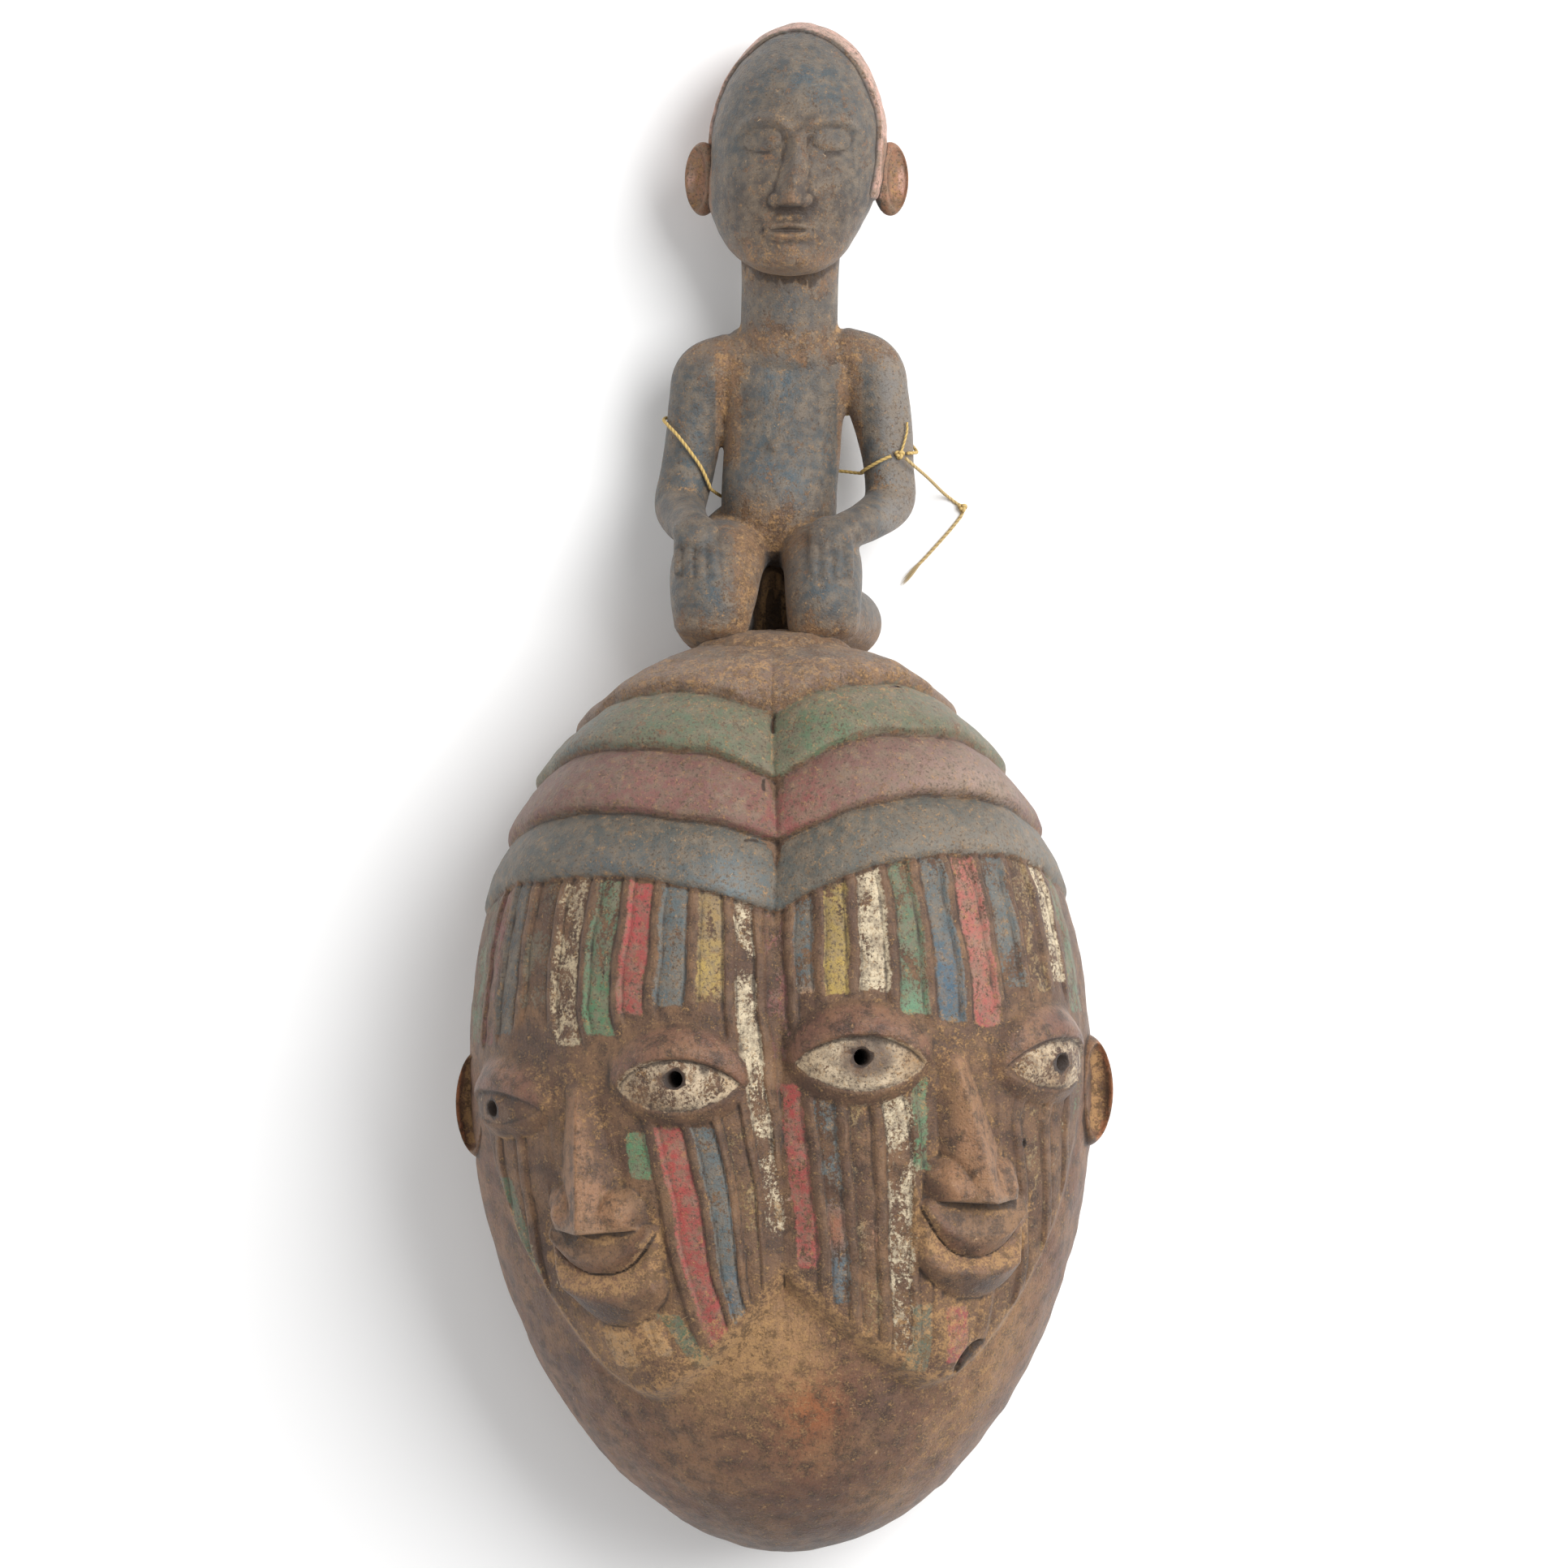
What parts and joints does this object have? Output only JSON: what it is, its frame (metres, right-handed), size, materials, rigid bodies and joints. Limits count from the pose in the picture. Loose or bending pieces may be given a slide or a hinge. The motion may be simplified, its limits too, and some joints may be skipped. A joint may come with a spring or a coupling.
{
  "type": "double-faced mask with a kneeling figure",
  "caption": "Carved and painted wooden mask with two faces side by side and a kneeling figure on its crown.",
  "frame": {"origin": "middle of the back, in the plane of the rim that the mask lies on", "axes": "+Z out of the faces, +Y from the chins to the figure's head, +X to the right seen from in front"},
  "size_m": [0.2554, 0.6036, 0.1537],
  "materials": {
    "painted_wood": "worn paint on carved wood",
    "twine": "dry plant-fibre twine"
  },
  "bodies": {
    "root": {"carved_mask": "painted_wood", "twine_loop": "twine", "twine_knot": "twine", "twine_tail_upper": "twine", "tail_knot": "twine", "twine_tail_lower": "twine", "tail_tuft": "twine"}
  },
  "joints": []
}
